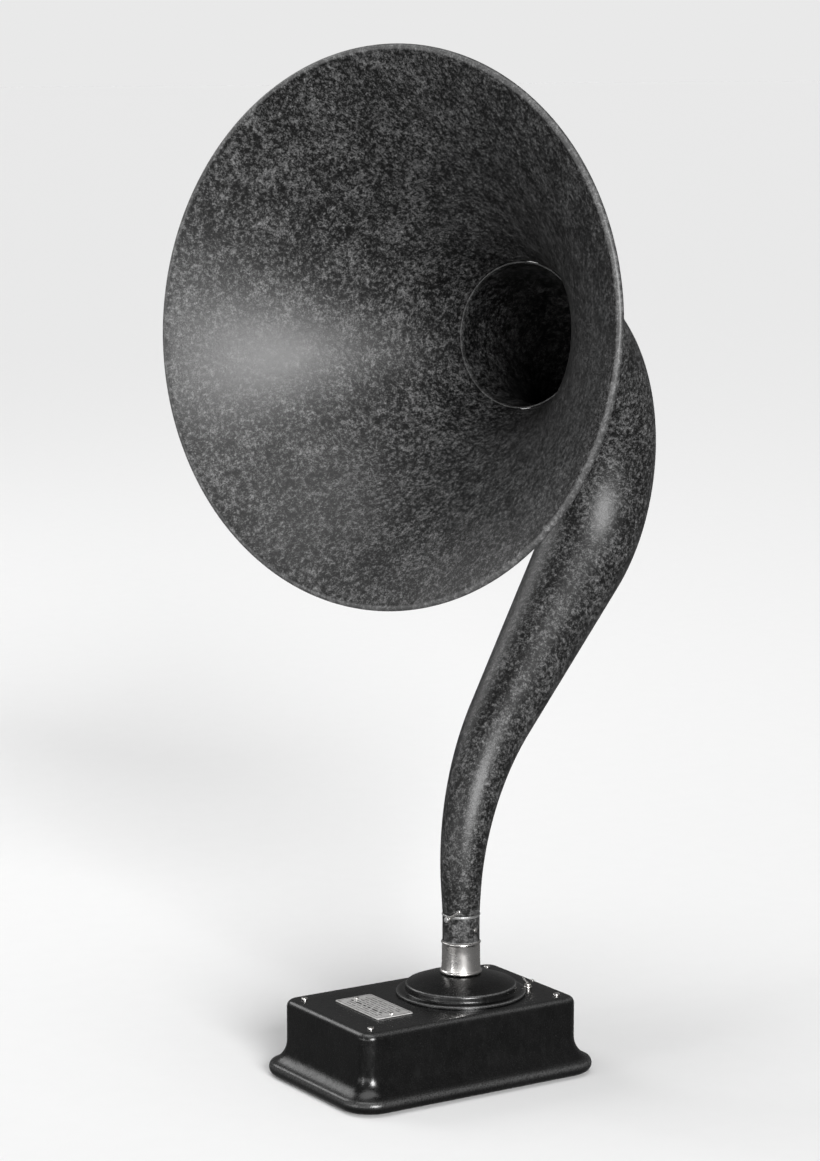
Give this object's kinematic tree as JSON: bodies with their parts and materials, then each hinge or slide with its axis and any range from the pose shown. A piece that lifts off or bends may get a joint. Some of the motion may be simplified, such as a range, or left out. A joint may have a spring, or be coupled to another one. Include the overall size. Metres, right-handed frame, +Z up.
{
  "type": "horn loudspeaker",
  "caption": "Early electrodynamic table horn loudspeaker: lacquered metal base with moving-coil driver, nickelled swivel socket, tapered gooseneck and wide flared bell.",
  "frame": {"origin": "centre of the base's underside, on the felt pad's face", "axes": "+Z up through the base; X along the base's long side, with the terminals at +X and the nameplate near -X; the horn faces -X, turned 21.6 degrees towards -Y at rest"},
  "size_m": [0.4442, 0.4254, 0.8736],
  "materials": {
    "base_lacquer": "black baked lacquer, satin",
    "horn_enamel": "black mottled crackle enamel",
    "nickel": "polished nickel plate",
    "etched_silver": "etched nickel silver plate",
    "cast_iron": "machined iron",
    "plain_steel": "plain steel",
    "brass": "turned brass",
    "duralumin": "pressed thin sheet",
    "copper_wire": "enamelled copper winding",
    "fibre": "vulcanised fibre",
    "hard_rubber": "polished hard rubber",
    "green_felt": "pressed felt",
    "cloth_wire": "braided cotton covering"
  },
  "bodies": {
    "base": {"base_casing": "base_lacquer", "dome_flange": "base_lacquer", "coupling_sleeve": "horn_enamel", "bottom_cover": "cast_iron", "felt_pad": "green_felt", "nameplate": "etched_silver", "upper_gasket": "fibre", "lower_gasket": "fibre", "diaphragm": "duralumin", "seat_ring": "cast_iron", "front_pole_plate": "cast_iron", "centre_pole": "cast_iron", "field_pot": "cast_iron", "field_coil_bobbin": "fibre", "field_coil_winding": "copper_wire", "transformer_core": "cast_iron", "transformer_bobbin": "fibre", "transformer_winding": "copper_wire", "transformer_bracket": "plain_steel", "transformer_screw_1": "plain_steel", "transformer_screw_2": "plain_steel", "terminal_strip": "hard_rubber", "strip_screw_1": "nickel", "strip_screw_2": "nickel", "switch_body": "hard_rubber", "switch_bush": "nickel", "socket_collar": "nickel", "sleeve_set_screw": "nickel", "nameplate_screw_1": "nickel", "nameplate_screw_2": "nickel", "top_screw_1": "nickel", "driver_bolt_1": "plain_steel", "terminal_post_1": "brass", "top_screw_2": "nickel", "driver_bolt_2": "plain_steel", "terminal_post_2": "brass", "top_screw_3": "nickel", "driver_bolt_3": "plain_steel", "terminal_post_3": "brass", "top_screw_4": "nickel", "driver_bolt_4": "plain_steel", "terminal_post_4": "brass", "field_lead_1": "cloth_wire", "field_lead_2": "cloth_wire", "field_lead_3": "cloth_wire", "input_lead_1": "cloth_wire", "input_lead_2": "cloth_wire"},
    "horn": {"gooseneck": "horn_enamel", "neck_ferrule": "brass", "bell": "horn_enamel", "throat_ring": "horn_enamel", "rim_wire": "plain_steel"},
    "voice_coil": {"voice_coil_former": "fibre", "voice_coil_winding": "copper_wire"},
    "switch_key": {"switch_key": "nickel"},
    "lock_lever": {"lock_lever": "nickel"},
    "terminal_nut_1": {"terminal_nut_1": "nickel"},
    "terminal_nut_2": {"terminal_nut_2": "nickel"},
    "terminal_nut_3": {"terminal_nut_3": "nickel"},
    "terminal_nut_4": {"terminal_nut_4": "nickel"}
  },
  "joints": [
    {"name": "horn_swivel", "type": "hinge", "parent": "base", "child": "horn", "pos_m": [0.031, 0, 0.137], "axis": [0, 0, 1], "continuous": true},
    {"name": "lock_lever_swing", "type": "hinge", "parent": "base", "child": "lock_lever", "pos_m": [0.01379, -0.00526, 0.1345], "axis": [0.9563, 0.2924, 0], "range_deg": [0, 115]},
    {"name": "voice_coil_travel", "type": "slide", "parent": "base", "child": "voice_coil", "axis": [0, 0, 1], "range_m": [-0.0005, 0.0005], "stiffness_N_per_m": 2500, "deforming": ["diaphragm"]},
    {"name": "switch_turn", "type": "hinge", "parent": "base", "child": "switch_key", "pos_m": [0.088, -0.019, 0.073], "axis": [0, 0, 1], "range_deg": [0, 90]},
    {"name": "terminal_nut_1_turn", "type": "hinge", "parent": "base", "child": "terminal_nut_1", "pos_m": [0.118, 0.03, 0.048], "axis": [1, 0, 0], "range_deg": [0, 720]},
    {"name": "terminal_nut_2_turn", "type": "hinge", "parent": "base", "child": "terminal_nut_2", "pos_m": [0.118, 0.01, 0.048], "axis": [1, 0, 0], "range_deg": [0, 720]},
    {"name": "terminal_nut_3_turn", "type": "hinge", "parent": "base", "child": "terminal_nut_3", "pos_m": [0.118, -0.01, 0.048], "axis": [1, 0, 0], "range_deg": [0, 720]},
    {"name": "terminal_nut_4_turn", "type": "hinge", "parent": "base", "child": "terminal_nut_4", "pos_m": [0.118, -0.03, 0.048], "axis": [1, 0, 0], "range_deg": [0, 720]}
  ]
}
